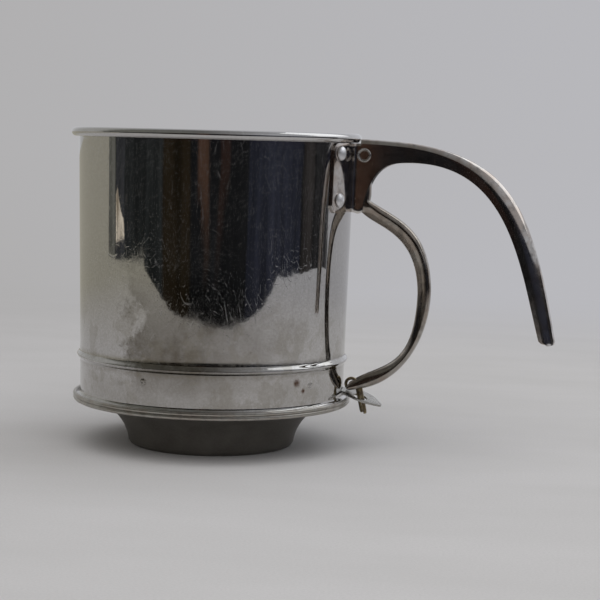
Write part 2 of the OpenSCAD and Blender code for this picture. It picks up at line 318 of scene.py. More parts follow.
def grid(rows):
    """Points and faces of a sheet given as equal rows of points."""
    width = len(rows[0])
    points = [p for row in rows for p in row]
    faces = []
    for i in range(len(rows) - 1):
        for k in range(width - 1):
            a = i * width + k
            faces.append((a, a + 1, a + 1 + width, a + width))
    return points, faces


# ---------------------------------------------------------------- materials
def link(tree, source, target):
    tree.links.new(source, target)


def put(tree, kind, values=None, **settings):
    """A node with its settings and its unlinked input values."""
    made = tree.nodes.new(kind)
    for key, value in settings.items():
        setattr(made, key, value)
    for key, value in (values or {}).items():
        if isinstance(value, bpy.types.NodeSocket):
            link(tree, value, made.inputs[key])
        else:
            made.inputs[key].default_value = value
    return made


def math(tree, operation, a, b=0.0, c=0.0):
    return put(tree, "ShaderNodeMath", {0: a, 1: b, 2: c}, operation=operation).outputs[0]


def times(tree, a, b):
    return math(tree, "MULTIPLY", a, b)


def plus(tree, a, b):
    return math(tree, "ADD", a, b)


def most(tree, a, b):
    return math(tree, "MAXIMUM", a, b)


def coords(tree, kind="Object"):
    """The shaded point in metres; in the world, "Generated" is the direction looked in."""
    return put(tree, "ShaderNodeTexCoord").outputs[kind]


def measure(tree, operation, a, b=(0.0, 0.0, 0.0)):
    """A number worked out from one or two vectors."""
    made = put(tree, "ShaderNodeVectorMath", {0: a, 1: b}, operation=operation)
    return made.outputs["Value"]


def ease(tree, value, low, high, kind="SMOOTHSTEP"):
    """A value as a share: 0 at low, 1 at high, and held at both ends."""
    made = put(tree, "ShaderNodeMapRange", {"Value": value, "From Min": low, "From Max": high},
               interpolation_type=kind)
    return made.outputs[0]


def grain(tree, size, detail=3.0, rough=0.5, stretch=(1.0, 1.0, 1.0), turn=(0.0, 0.0, 0.0)):
    """Noise whose features are about size millimetres across, stretched and turned."""
    where = put(tree, "ShaderNodeMapping", {
        "Vector": coords(tree), "Scale": [s / MM for s in stretch],
        "Rotation": [radians(a) for a in turn]})
    return put(tree, "ShaderNodeTexNoise", {
        "Vector": where.outputs[0], "Scale": 1.0 / size, "Detail": detail,
        "Roughness": rough}).outputs[0]


def ramp(tree, value, *stops, colour=False):
    """A colour ramp; stops are (position, grey or colour)."""
    made = put(tree, "ShaderNodeValToRGB", {0: value})
    marks = made.color_ramp.elements
    marks.remove(marks[1])
    marks[0].position = stops[0][0]
    for at, _ in stops[1:]:
        marks.new(at)
    for mark, (at, shade) in zip(marks, stops):
        mark.color = (*shade, 1.0) if colour else (shade, shade, shade, 1.0)
    return made.outputs[0]


def tint(tree, amount, a, b):
    """Colour a mixed to colour b by an amount."""
    made = put(tree, "ShaderNodeMix", {0: amount}, data_type="RGBA")
    for index, value in ((6, a), (7, b)):
        if isinstance(value, bpy.types.NodeSocket):
            link(tree, value, made.inputs[index])
        else:
            made.inputs[index].default_value = (*value, 1.0)
    return made.outputs[2]


def height_of(tree):
    """The height in millimetres."""
    return times(tree, put(tree, "ShaderNodeSeparateXYZ", {0: coords(tree)}).outputs["Z"], 1 / MM)


def scratches(tree, size, layers, sparse):
    """Thin curved hairlines, broken into short runs, as a mask."""
    total = 0.0
    for k in range(layers):
        turn = (35 * k, 50 * k + 10, 80 * k + 20)
        field = grain(tree, size * (1 + 0.6 * k), 1.0, 0.4, (1.0, 1.0, 0.35), turn)
        off = math(tree, "ABSOLUTE", math(tree, "SUBTRACT", field, 0.5))
        line = ramp(tree, off, (0.0, 1.0), (0.004, 0.0))
        some = grain(tree, size * 0.8, 2.0, 0.5, turn=(60 * k, 20, 0))
        broken = times(tree, line, ramp(tree, some, (sparse, 0.0), (sparse + 0.06, 1.0)))
        total = most(tree, total, broken)
    return total


def new_material(name):
    material = bpy.data.materials.new(name)
    material.use_nodes = True
    return material, material.node_tree


def new_metal(name):
    material, tree = new_material(name)
    shader = tree.nodes["Principled BSDF"]
    shader.inputs["Metallic"].default_value = 1.0
    return material, tree, shader


def set_bump(tree, shader, height, depth):
    """Bump of a real depth in millimetres."""
    bump = put(tree, "ShaderNodeBump", {"Height": height, "Distance": depth * MM,
                                        "Strength": 1.0})
    link(tree, bump.outputs[0], shader.inputs["Normal"])


def inner_face(tree):
    """1 on the inner face of the cup's wall, 0 on its outer face."""
    split = put(tree, "ShaderNodeSeparateXYZ", {0: coords(tree)}).outputs
    squares = plus(tree, times(tree, split["X"], split["X"]), times(tree, split["Y"], split["Y"]))
    slope = (WALL_TOP_R - WALL_LOW_R) / (WALL_TOP_Z - WALL_LOW_Z)
    middle = (WALL_LOW_R - slope * WALL_LOW_Z - CUP_SHEET / 2) * MM
    limit = math(tree, "MULTIPLY_ADD", split["Z"], slope, middle)
    return math(tree, "LESS_THAN", math(tree, "SQRT", squares), limit)


def spot(tree, azimuth, z, inner, outer):
    """A round mask on the cup's wall: 1 inside, 0 outside."""
    c, s = unit(azimuth)
    centre = (WALL_LOW_R * c * MM, WALL_LOW_R * s * MM, z * MM)
    return ease(tree, measure(tree, "DISTANCE", coords(tree), centre), outer * MM, inner * MM)


def polished_steel(name, colour, rough, haze, tarnish, scale=1.0):
    """Bright rolled sheet: smudged mirror, hairlines, faint haze, tarnish and orange peel."""
    material, tree, shader = new_metal(name)
    cloud = grain(tree, 16 * scale, 4.0, 0.62)
    fine = grain(tree, 3.2 * scale, 5.0, 0.65)
    smudge = times(tree, ramp(tree, cloud, (0.42, 0.0), (0.72, 1.0)),
                   ramp(tree, fine, (0.40, 0.15), (0.68, 1.0)))
    marks = scratches(tree, 5 * scale, 3, 0.58)
    worn = most(tree, math(tree, "MULTIPLY_ADD", smudge, haze, rough), times(tree, marks, 0.30))
    link(tree, worn, shader.inputs["Roughness"])
    dull = tint(tree, times(tree, smudge, 0.35), colour, [c * 0.82 for c in colour])
    brown = ramp(tree, grain(tree, 7 * scale, 5.0, 0.62), (0.42, 0.0), (0.60, tarnish))
    black = ramp(tree, grain(tree, 4.5 * scale, 5.0, 0.66), (0.52, 0.0), (0.66, tarnish))
    dull = tint(tree, brown, dull, [c * k for c, k in zip(colour, (0.70, 0.57, 0.48))])
    dull = tint(tree, black, dull, [c * 0.30 for c in colour])
    link(tree, dull, shader.inputs["Base Color"])
    peel = grain(tree, 2.2 * scale, 2.0, 0.5)
    set_bump(tree, shader, plus(tree, times(tree, peel, 0.25), times(tree, marks, -0.35)), 0.02)
    return material


# Places on the cup's wall, placed from the photo: azimuth, height and, for rust, radius
RUST_SPOTS = ((-42.7, 31.3, 2.3), (-39.2, 27.9, 1.3))
WELD_MARKS = ((-109.3, 31.0), (-35.0, 29.6))


def tarnish_and_reflected_shade_mask(tree, part):
    """Tarnish and a painted dark reflection make the front left of the lower wall brown and dull."""
    front, across = (measure(tree, "DOT_PRODUCT", coords(tree),
                             [c / (WALL_LOW_R * MM) for c in (*unit(a), 0.0)])
                     for a in (CAMERA_AZIMUTH - 90, CAMERA_AZIMUTH))
    shift = plus(tree, times(tree, across, 0.5), times(tree, grain(tree, 14, 7.0, 0.7), 0.4))
    band = ramp(tree, plus(tree, shift, 0.30), (0.19, 0.0), (0.24, 1.0), (0.41, 1.0),
                (0.51, 0.65), (0.68, 0.36), (0.84, 0.0))
    facing = times(tree, band, ramp(tree, front, (0.0, 0.0), (0.2, 1.0)))
    low = ramp(tree, part, (0.20, 0.25), (0.29, 1.0), (0.40, 1.0), (0.62, 0.0))
    ragged = ramp(tree, grain(tree, 24, 8.0, 0.68), (0.40, 0.68), (0.54, 1.0))
    return times(tree, times(tree, facing, low), ragged)


def crease_shade_mask(tree, z, part, cloud, fine):
    """Painted shade: darker and duller in the crease under the bead, the one over it, and at the wall's
    base.
    """
    near_bead = math(tree, "ABSOLUTE", math(tree, "SUBTRACT", z, BEAD_Z))
    crease = ramp(tree, math(tree, "DIVIDE", near_bead, 10.0), (0.12, 0.0), (0.22, 1.0), (0.42, 0.0))
    crease = times(tree, crease, ramp(tree, fine, (0.35, 0.2), (0.6, 1.0)))
    base = times(tree, ramp(tree, part, (0.235, 1.0), (0.27, 0.0)),
                 ramp(tree, cloud, (0.4, 0.1), (0.7, 0.7)))
    return most(tree, crease, base)


def rust_mask(tree, fine):
    """The rust spots, ragged inside."""
    ragged = ramp(tree, fine, (0.35, 0.3), (0.55, 1.0))
    rust = 0.0
    for azimuth, z, size in RUST_SPOTS:
        rust = most(tree, rust, times(tree, spot(tree, azimuth, z, size * 0.2, size), ragged))
    return rust


def cup_relief(tree, marks):
    """Orange peel and scratches, with a small rough dimple at each spot weld."""
    relief = plus(tree, times(tree, grain(tree, 3.0, 2.0, 0.5), 0.2), times(tree, marks, -0.25))
    for azimuth, z in WELD_MARKS:
        dimple = times(tree, spot(tree, azimuth, z, 0.4, 2.0),
                       ramp(tree, grain(tree, 1.3, 3.0, 0.6), (0.40, 0.0), (0.60, 1.0)))
        relief = plus(tree, relief, times(tree, dimple, 5.0))
    return relief


def cup_steel():
    """The cup's mirror wall: water stains, tarnish and painted shade by the bead, rust and weld spots.
    """
    material, tree, shader = new_metal("cup_mirror_steel")
    z = height_of(tree)
    part = math(tree, "DIVIDE", z, OVERALL_Z)
    cloud = grain(tree, 20, 4.0, 0.6)
    fine = grain(tree, 2.6, 6.0, 0.7)
    smudge = times(tree, ramp(tree, cloud, (0.40, 0.0), (0.66, 1.0)),
                   ramp(tree, fine, (0.42, 0.1), (0.66, 1.0)))
    wisp = ramp(tree, grain(tree, 7, 6.0, 0.72, (1.0, 1.0, 0.6), (20, 0, 0)), (0.50, 0.0), (0.68, 1.0))
    dusty = ramp(tree, grain(tree, 1.1, 7.0, 0.8), (0.50, 0.0), (0.66, 1.0))
    patch = ramp(tree, grain(tree, 15, 3.0, 0.6, turn=(0, 40, 0)), (0.40, 0.15), (0.62, 1.0))
    veil = times(tree, dusty, patch)
    marks = most(tree, times(tree, scratches(tree, 14, 4, 0.60), 0.6),
                 times(tree, scratches(tree, 3.4, 4, 0.50), 0.55))
    hazy = most(tree, marks, times(tree, veil, 0.45))
    specks = ramp(tree, grain(tree, 0.5, 0.0, 0.5), (0.79, 0.0), (0.83, 1.0))
    drops = grain(tree, 10, 7.0, 0.66, (1.0, 1.0, 0.8))
    stain = times(tree, ramp(tree, drops, (0.50, 0.0), (0.56, 1.0), (0.62, 0.75)),
                  ramp(tree, part, (0.38, 1.0), (0.54, 0.0)))
    pepper = times(tree, ramp(tree, grain(tree, 0.9, 5.0, 0.75), (0.42, 0.30), (0.62, 0.0)),
                   ramp(tree, part, (0.45, 1.0), (0.75, 0.45)))
    # Partly real tarnish, partly painted shade: the darker reflection of the shaded floor in front of
    # the cup
    tarnish = tarnish_and_reflected_shade_mask(tree, part)
    # Painted shade: the wall goes darker and duller beside the bead and at its base
    crease_shade = crease_shade_mask(tree, z, part, cloud, fine)
    rust = rust_mask(tree, fine)
    inside = inner_face(tree)
    shade = (0.57, 0.56, 0.55)
    for mask, strength, colour in (
            (smudge, 0.3, (0.50, 0.50, 0.51)), (pepper, 1.0, (0.26, 0.245, 0.21)),
            (tarnish, 0.96, (0.150, 0.132, 0.106)), (stain, 0.32, (0.26, 0.235, 0.185)),
            (crease_shade, 0.45, (0.24, 0.215, 0.165)), (hazy, 0.30, (0.80, 0.80, 0.82)),
            (rust, 1.0, (0.13, 0.060, 0.028)), (inside, 1.0, (0.66, 0.655, 0.64))):
        shade = tint(tree, times(tree, mask, strength), shade, colour)
    link(tree, shade, shader.inputs["Base Color"])
    rough = math(tree, "MULTIPLY_ADD", smudge, 0.04, 0.02)
    for mask, strength in ((wisp, 0.03), (veil, 0.05), (stain, 0.03), (tarnish, 0.025), (crease_shade, 0.14)):
        rough = plus(tree, rough, times(tree, mask, strength))
    satin = ramp(tree, cloud, (0.35, 0.30), (0.65, 0.44))
    for mask, strength in ((marks, 0.30), (specks, 0.24), (rust, 0.7), (satin, inside)):
        rough = most(tree, rough, times(tree, mask, strength))
    link(tree, rough, shader.inputs["Roughness"])
    # Dust and the satin inside are a little less metallic than the mirror
    dust = math(tree, "MULTIPLY_ADD", hazy, -0.17, 1.0)
    link(tree, math(tree, "SUBTRACT", dust, times(tree, inside, 0.22)), shader.inputs["Metallic"])
    set_bump(tree, shader, cup_relief(tree, marks), 0.02)
    return material


def dull_foot():
    """Dark matte oxidised steel, brushed round by spinning and mottled."""
    material, tree, shader = new_metal("dull_grey_foot")
    shader.inputs["Metallic"].default_value = 0.85
    cloud = grain(tree, 9, 4.0, 0.6)
    fine = grain(tree, 0.8, 3.0, 0.6, (1.0, 1.0, 2.5))
    turning = put(tree, "ShaderNodeTexNoise", {"W": height_of(tree), "Scale": 6.0, "Detail": 3.0},
                  noise_dimensions="1D")
    shade = tint(tree, ramp(tree, cloud, (0.3, 0.0), (0.7, 1.0)), (0.135, 0.125, 0.108),
                 (0.190, 0.178, 0.158))
    shade = tint(tree, ramp(tree, fine, (0.45, 0.0), (0.75, 0.5)), shade, (0.21, 0.20, 0.19))
    link(tree, shade, shader.inputs["Base Color"])
    rough = ramp(tree, cloud, (0.3, 0.42), (0.7, 0.56))
    link(tree, rough, shader.inputs["Roughness"])
    set_bump(tree, shader, plus(tree, fine, times(tree, turning.outputs[0], 1.5)), 0.015)
    return material


def plain_metal(name, colour, rough, size=2.0, depth=0.01):
    """Small parts: a metal with mottled colour and roughness and a fine relief."""
    material, tree, shader = new_metal(name)
    cloud = grain(tree, size * 3, 3.0, 0.6)
    fine = grain(tree, size * 0.3, 3.0, 0.6)
    shade = tint(tree, ramp(tree, cloud, (0.35, 0.0), (0.7, 1.0)), colour,
                 [c * 0.72 for c in colour])
    link(tree, shade, shader.inputs["Base Color"])
    link(tree, ramp(tree, fine, (0.3, rough * 0.75), (0.75, rough * 1.35)),
         shader.inputs["Roughness"])
    set_bump(tree, shader, plus(tree, fine, times(tree, cloud, 2.0)), depth)
    return material


def aged_brass():
    """Old brass wire: worn yellow, brown in the hollows and a little green."""
    material, tree, shader = new_metal("aged_brass")
    cloud = grain(tree, 1.6, 4.0, 0.65)
    spots = grain(tree, 0.7, 2.0, 0.6)
    shade = ramp(tree, cloud, (0.30, (0.12, 0.09, 0.06)), (0.48, (0.25, 0.20, 0.13)),
                 (0.66, (0.42, 0.36, 0.22)), colour=True)
    shade = tint(tree, ramp(tree, spots, (0.58, 0.0), (0.66, 0.45)), shade, (0.40, 0.30, 0.10))
    link(tree, shade, shader.inputs["Base Color"])
    link(tree, ramp(tree, cloud, (0.3, 0.50), (0.7, 0.24)), shader.inputs["Roughness"])
    set_bump(tree, shader, cloud, 0.04)
    return material


MATERIALS = {
    "polished_cup": cup_steel(),
    "polished_handle": polished_steel("handle_bright_steel", (0.60, 0.575, 0.55), 0.10, 0.12, 0.55),
    "polished_trigger": polished_steel("trigger_bright_steel", (0.38, 0.355, 0.32), 0.15, 0.14, 0.55),
    "seam": polished_steel("seam_bright_steel", (0.44, 0.425, 0.39), 0.30, 0.10, 0.35, 0.7),
    "dull_foot": dull_foot(),
    "mesh_wire": plain_metal("sieve_wire", (0.50, 0.49, 0.46), 0.32, 1.0, 0.004),
    "plain_steel": plain_metal("inner_steel", (0.56, 0.55, 0.53), 0.26, 3.0, 0.012),
    "link_strip": plain_metal("link_strip_steel", (0.46, 0.45, 0.42), 0.26, 2.0, 0.012),
    "spring_wire": plain_metal("spring_wire_steel", (0.36, 0.35, 0.34), 0.30, 1.0, 0.006),
    "bright_rivet": plain_metal("rivet_steel", (0.90, 0.90, 0.91), 0.48, 1.5, 0.012),
    "rivet_ring": plain_metal("tubular_rivet_steel", (0.62, 0.61, 0.59), 0.26, 2.0, 0.03),
    "cotter_brass": aged_brass(),
}


# ---------------------------------------------------------------- cup, seam and foot
FINE_TURN = 288
WOBBLE_Z = (40, 122)
WOBBLE_FADE = 12


def cup_wobble(r, angle, z):
    """The slow unevenness of thin rolled sheet, none at the rim or the base."""
    low, high = WOBBLE_Z
    if z < low or z > high or r < WALL_LOW_R - 1:
        return 0.0
    c, s = unit(angle)
    fade = smooth((z - low) / WOBBLE_FADE) * smooth((high - z) / WOBBLE_FADE)
    broad = noise.noise(Vector((c * 2.1, s * 2.1, z / 38)))
    near = noise.noise(Vector((c * 5.5 + 9, s * 5.5, z / 15)))
    return fade * (0.10 * broad + 0.035 * near)


def bead(z):
    if abs(z - BEAD_Z) >= BEAD_H / 2:
        return 0.0
    return BEAD_OUT * cos(radians(180 * (z - BEAD_Z) / BEAD_H)) ** 2


def cup_profile():
    """The wall's section: base flange, crease, bead, wall and rolled rim."""
    flange = WALL_LOW_Z - CREASE_R
    bead_low = BEAD_Z - BEAD_H / 2
    bead_top = BEAD_Z + BEAD_H / 2
    heights = (spread(WALL_LOW_Z + 0.2, SLOT_Z[0], 1) + spread(SLOT_Z[1], bead_low - 1.5, 4)
               + spread(bead_low, bead_top, 18) + spread(bead_top + 2, 124.0, 38))
    outer = [(wall_r(z) + bead(z), z) for z in heights]
    inner = [(r - CUP_SHEET, z) for r, z in reversed(outer)]
    centre = (WALL_LOW_R + CREASE_R, WALL_LOW_Z)
    roll = (ROLL_CENTRE_R, WALL_TOP_Z)
    return ([(STACK_R, flange - CUP_SHEET), (STACK_R, flange)]
            + arc(centre, CREASE_R, 270, 180, 8) + outer
            + arc(roll, ROLL_R - CUP_SHEET, 180, -120, 30)
            + arc(roll, ROLL_R, -120, 180, 34) + inner
            + arc(centre, CREASE_R + CUP_SHEET, 180, 270, 8))


def make_cup():
    profile = cup_profile()
    low, high = (degrees(asin(y / WALL_LOW_R)) for y in SLOT_Y)
    angles = sorted([360 * i / FINE_TURN for i in range(FINE_TURN)] + [low % 360, high % 360])
    points, faces = lathe(profile, angles, cup_wobble)

    def in_slot(face):
        middle = sum((Vector(points[i]) for i in face), Vector()) / len(face)
        turn = degrees(atan2(middle.y, middle.x))
        flat = all(SLOT_Z[0] - 0.01 < points[i][2] < SLOT_Z[1] + 0.01 for i in face)
        return flat and low < turn < high and middle.length > 50

    rows = len(profile)
    kept = [f for f in faces if not in_slot(f)]
    # Walls of the slot join the outer sheet to the inner one
    at = {round(a, 6): i for i, a in enumerate(angles)}
    outer_row = {z: k for k, (r, z) in enumerate(profile) if z in SLOT_Z and r > wall_r(z) - 0.3}
    inner_row = {z: k for k, (r, z) in enumerate(profile) if z in SLOT_Z and r < wall_r(z) - 0.3}
    inside = [i for i, a in enumerate(angles) if a >= low % 360 - 1e-6 or a <= high + 1e-6]
    inside.sort(key=lambda i: (angles[i] + 180) % 360)
    for z in SLOT_Z:
        for i, j in zip(inside, inside[1:]):
            kept.append((i * rows + outer_row[z], j * rows + outer_row[z],
                         j * rows + inner_row[z], i * rows + inner_row[z]))
    for end in (low % 360, high % 360):
        i = at[round(end, 6)]
        kept.append(tuple(i * rows + row[z] for row, z in (
            (outer_row, SLOT_Z[0]), (outer_row, SLOT_Z[1]),
            (inner_row, SLOT_Z[1]), (inner_row, SLOT_Z[0]))))
    make_piece("cup_wall", (points, kept), "sifter", "polished_cup", ["cup_body"])


def make_seam():
    """The lock seam that clinches the foot to the cup: two rounded ridges."""
    lower, upper = (55.95, 18.9), (56.05, 20.4)
    profile = ([(54.6, 18.0)] + arc(lower, 0.9, -90, 54, 12) + arc(upper, 0.85, -48, 122, 14)
               + [(55.6, 20.6), (56.1, 20.6), (56.1, 18.6), (54.6, 18.6)])
    angles = [360 * i / FINE_TURN for i in range(FINE_TURN)]

    def unevenness(r, angle, z):
        c, s = unit(angle)
        return 0.06 * noise.noise(Vector((c * 9, s * 9, z / 10))) - 0.06 if r > 56.3 else 0.0

    make_piece("seam_roll", lathe(profile, angles, unevenness), "sifter", "polished_cup",
               ["seam_ring"], 50, "seam")


def make_foot():
    """The flared funnel with its straight hem."""
    bottom_r, sheet, flare_r, flange_z = 33.7, 0.7, 20.3, 18.6
    lip, hem_r, hem_top = 1.2, 31.4, 6.0
    centre = (bottom_r + flare_r + 0.1, flange_z - flare_r)
    outer_end = 180 - degrees(asin((1.4 - centre[1]) / flare_r))
    inner_end = 180 - degrees(asin((hem_top - centre[1]) / (flare_r + sheet)))
    profile = ([(STACK_R, flange_z)] + arc(centre, flare_r, 90, outer_end, 36)
               + arc((bottom_r - lip, lip), lip, 0, -90, 8)
               + [(hem_r + 0.5, 0.0)] + arc((hem_r + 0.5, 0.5), 0.5, 270, 180, 3)
               + [(hem_r, hem_top / 2), (hem_r, hem_top), (hem_r + sheet, hem_top)]
               + arc(centre, flare_r + sheet, inner_end, 90, 36) + [(STACK_R, flange_z + sheet)])
    angles = [360 * i / 192 for i in range(192)]
    make_piece("funnel_foot", lathe(profile, angles), "sifter", "dull_foot", ["foot_funnel"], 45)


# ---------------------------------------------------------------- sieve and agitator
def make_screen():
    """Plain-woven wire cloth: each wire goes over one crossing wire and under the next."""
    pitch, wire, reach, level = 1.8, 0.17, 55.6, 19.65
    count = int(reach / pitch)
    shapes = []
    for axis in (0, 1):
        for i in range(-count, count + 1):
            across = i * pitch
            half = sqrt(reach ** 2 - across ** 2)
            steps = max(4, int(2 * half / pitch * 2))
            path = []
            for k in range(steps + 1):
                along = -half + 2 * half * k / steps
                lift = wire * 0.95 * cos(pi * (along / pitch + i + axis))
                flat = (along, across) if axis == 0 else (across, along)
                path.append((*flat, level + lift))
            shapes.append(tube(path, wire, 5))
    make_piece("sieve_wire_cloth", join(*shapes), "sifter", "mesh_wire", ["sieve_screen"], 80)


def make_agitator_wires():
    """Four hairpins of round wire, each two spokes and a bend that sweeps the screen."""
    radius, sweep, half, corner = 0.8, 50.0, 12.0, 2.2
    start_r, level = 5.5, 21.58
    bend = degrees(corner / sweep)
    shapes = []
    for i in range(4):
        start = i * 90 + 20
        path = []
        for side in (-1, 1):
            a = start + half + side * half
            inward = unit(a)
            spoke = [(r * inward[0], r * inward[1]) for r in spread(start_r, sweep - corner, 12)]
            curve = []
            for k in range(1, 6):
                t = k / 6
                turn = a - side * bend * smooth(t)
                r = sweep - corner + corner * sin(pi / 2 * t)
                curve.append((r * unit(turn)[0], r * unit(turn)[1]))
            path.append(spoke + curve)
        low, high = start + bend, start + 2 * half - bend
        rim = [(sweep * unit(a)[0], sweep * unit(a)[1]) for a in spread(low, high, 14)]
        flat = path[0] + rim + list(reversed(path[1]))
        shapes.append(tube([(x, y, level) for x, y in flat], radius, 12))
    make_piece("agitator_wires", join(*shapes), "agitator", "plain_steel", ["agitator_loops"], 60)


# ---------------------------------------------------------------- handle
def flange_radius(z):
    """The outer face of the flange that lies on the cup."""
    return wall_r(z) + FLANGE_GAP + HANDLE_SHEET


def side_sheet(z_low, z_high, rows, fold):
    """Columns of the flange and its fold, from its far edge to the side plate."""
    reach = wall_r(110) * sin(radians(FLANGE_ANGLE))
    corner = 3.0
    columns = []
    for d in (0.0, 0.35, 0.9, 1.6, 2.3, 3.0, 4.5, 6.2, 8.0, 9.8, 11.4, 12.9):
        inset = corner - sqrt(max(corner ** 2 - (corner - min(d, corner)) ** 2, 0.0))
        column = []
        for t in rows:
            z = mix(z_low + inset, z_high - inset, t)
            r = flange_radius(z)
            y = reach - d
            column.append((sqrt(r * r - y * y), y, z))
        columns.append(column)
    for k in range(7):
        column = []
        for t in rows:
            z = mix(z_low - 0.25 * smooth(k / 6), z_high, t)
            centre_r = flange_radius(z) + fold
            centre_y = HANDLE_W / 2 + fold
            centre = (sqrt(centre_r ** 2 - centre_y ** 2), centre_y)
            first = 180 + degrees(asin(centre_y / centre_r))
            c, s = unit(mix(first, 270, k / 6))
            column.append((centre[0] + fold * c, centre[1] + fold * s, z))
        columns.append(column)
    return columns


def plate_outline():
    """Pairs of bottom and top points of the handle's side plate, and the corner's radius."""
    def top_at(x):
        low, high = 0.0, 1.0
        for _ in range(40):
            middle = (low + high) / 2
            low, high = (middle, high) if bezier(GRIP_TOP, middle)[0] < x else (low, middle)
        return bezier(GRIP_TOP, low)

    corner, grip_corner = 2.0, 4.8
    pairs = []
    for b in arc(LOBE_CENTRE, LOBE_R, 285, 355, 7):
        pairs.append((b, top_at(max(b[0], GRIP_TOP[0][0] + 0.05)), corner))
    for t in spread(0.03, 1.0, 22):
        b = bezier(HUB_EDGE, t)
        pairs.append((b, top_at(b[0]), corner))
    start = max(k / 400 for k in range(60) if bezier(GRIP_TOP, k / 400)[0] < HUB_EDGE[3][0])
    for t in spread(0.02, 1.0, 60):
        round_r = mix(corner, grip_corner, smooth((t - 0.02) / 0.6))
        pairs.append((bezier(GRIP_INNER, t), bezier(GRIP_TOP, mix(start, 1.0, t)), round_r))
    # The rounded lower end
    pairs.append(((132.4, 47.6), (139.05, 46.6), 4.6))
    pairs.append(((133.3, 46.8), (138.95, 46.2), 4.4))
    pairs.append(((134.4, 46.35), (138.6, 45.95), 3.6))
    return pairs


def channel_column(bottom, top, half_w, corner, rows, corner_steps, web_steps):
    """One column of a channel: up the side, round its oval corner and across to the middle."""
    b, t = Vector(bottom), Vector(top)
    h = (t - b).length
    up = (t - b) / h
    corner = min(corner, h * 0.9, half_w * 0.98)
    deep = min(corner * mix(1.0, 1.45, (corner - 2.0) / 2.3), h * 0.75)
    flat = [(h - deep) * v for v in rows]
    places = [(v, half_w) for v in flat]
    for k in range(1, corner_steps + 1):
        c, s = unit(90 * k / corner_steps)
        places.append((h - deep + deep * s, half_w - corner + corner * c))
    for k in range(1, web_steps + 1):
        places.append((h, (half_w - corner) * (1 - k / web_steps)))
    return [(b.x + up.x * v, y, b.y + up.y * v) for v, y in places]


def mirror_y(shape):
    """A shape with its mirror image across the XZ plane."""
    points, faces = shape
    other = [(x, -y, z) for x, y, z in points]
    return join((points, faces), (other, [tuple(reversed(f)) for f in faces]))


def make_handle():
    rows = spread(0.0, 1.0, 14)
    flange = side_sheet(FLANGE_LOW_Z, FLANGE_TOP_Z, rows, 1.3)
    near = []
    for k, (x, low) in enumerate(arc(LOBE_CENTRE, LOBE_R, 236, 274, 4)):
        taper = 0.6 * (1 - k / 4)
        near.append([(x + taper * t, HANDLE_W / 2, mix(low, FLANGE_TOP_Z, t)) for t in rows])
    pairs = plate_outline()
    columns = [channel_column(b, t, HANDLE_W / 2, r, rows, 6, 4) for b, t, r in pairs]
    side = len(rows)
    sheet = grid(flange + near + [c[:side] for c in columns])
    web = grid([c[side - 1:] for c in columns])
    handle = make_piece("handle_channel", mirror_y(join(sheet, web)), "sifter",
                        "polished_handle", ["handle"])
    thicken(handle, HANDLE_SHEET, -1, 0.22)


# ---------------------------------------------------------------- trigger
def trigger_columns():
    """Inner and outer points of the trigger's side, from the ear's tip to the lower end.

    Each entry also has the outer corner's depth, None where there is no web, and half the
    gap between the two edges of the sheet.
    """
    x, z = PIVOT
    half, slit, low_gap = TRIGGER_W / 2, SLIT_W / 2, 2.75
    ear_corner, corner_share = 1.6, 0.36
    entries = []
    for a in (88, 78, 66, 54, 40, 26, 12, 0):
        c, s = unit(a)
        entries.append(((x - EAR_R * c, z + EAR_R * s), (x + EAR_R * c, z + EAR_R * s), None, half))
    entries += [((56.6, 116.0), (64.5, 116.0), None, half), ((56.8, 112.4), (63.7, 112.4), None, half)]
    for height in (112.0, 109.0, 106.0, 103.4):
        left = mix(57.4, 56.9, (height - 101) / 9)
        entries.append(((min(left, 57.4), height), (63.6, height), ear_corner, half))
    for t in spread(0.0, 1.0, 32):
        outer = bezier(TRIGGER_OUTER[0], t)
        inner = bezier(TRIGGER_INNER[0], t) if t > 0 else (58.0, 99.9)
        depth = (Vector(outer) - Vector(inner)).length * corner_share
        gap = mix(half, slit, smooth(t / 0.16))
        entries.append((inner, outer, mix(ear_corner, depth, smooth(t / 0.2)), gap))
    for t in spread(0.03, 1.0, 36):
        outer = bezier(TRIGGER_OUTER[1], t)
        inner = bezier(TRIGGER_INNER[1], t)
        depth = (Vector(outer) - Vector(inner)).length * corner_share
        gap = mix(slit, low_gap, smooth((t - 0.40) / 0.45))
        entries.append((inner, outer, depth, gap))
    return entries + [((56.9, 27.2), (56.6, 24.35), 0.9, 2.8), ((56.3, 26.5), (56.15, 24.5), 0.6, 2.85),
                      ((55.95, 25.8), (55.85, 24.75), 0.3, 2.9)]


def make_trigger():
    """A rolled channel whose cheeks lean in to a slit, with two ears round the pivot."""
    half = TRIGGER_W / 2
    sheet, lean, crown = 0.9, 1.55, 2.3
    pivot_hole, pin_hole = 2.15, 1.55
    sides, webs = [], []
    for inner, outer, corner, gap in trigger_columns():
        b, t = Vector(inner), Vector(outer)
        h = (t - b).length
        up = (t - b) / h
        shoulder = h - min(corner, h * 0.7) if corner else h
        path = []
        for k in range(13):
            f = (k / 12) ** 1.5
            bulge = (1 - (1 - f) ** lean) ** (1 / lean)
            path.append((shoulder * f, mix(gap, half, bulge)))
        sides.append([(b.x + up.x * v, y, b.y + up.y * v) for v, y in path])
        if corner:
            path = []
            for k in range(11):
                c, s = unit(90 * k / 10)
                path.append((shoulder + (h - shoulder) * s ** (2 / crown), half * c ** (2 / crown)))
            webs.append([(b.x + up.x * v, y, b.y + up.y * v) for v, y in path])
    trigger = make_piece("trigger_channel", mirror_y(join(grid(sides), grid(webs))), "trigger",
                         "polished_trigger", ["trigger"])
    thicken(trigger, sheet, -1, 0.16)
    c, s = unit(PIN_LEAN)
    cut(trigger, [((PIVOT[0], 0, PIVOT[1]), (0, 1, 0), pivot_hole, 20),
                  (PIN_AT, (-s, 0.0, c), pin_hole, 18)])


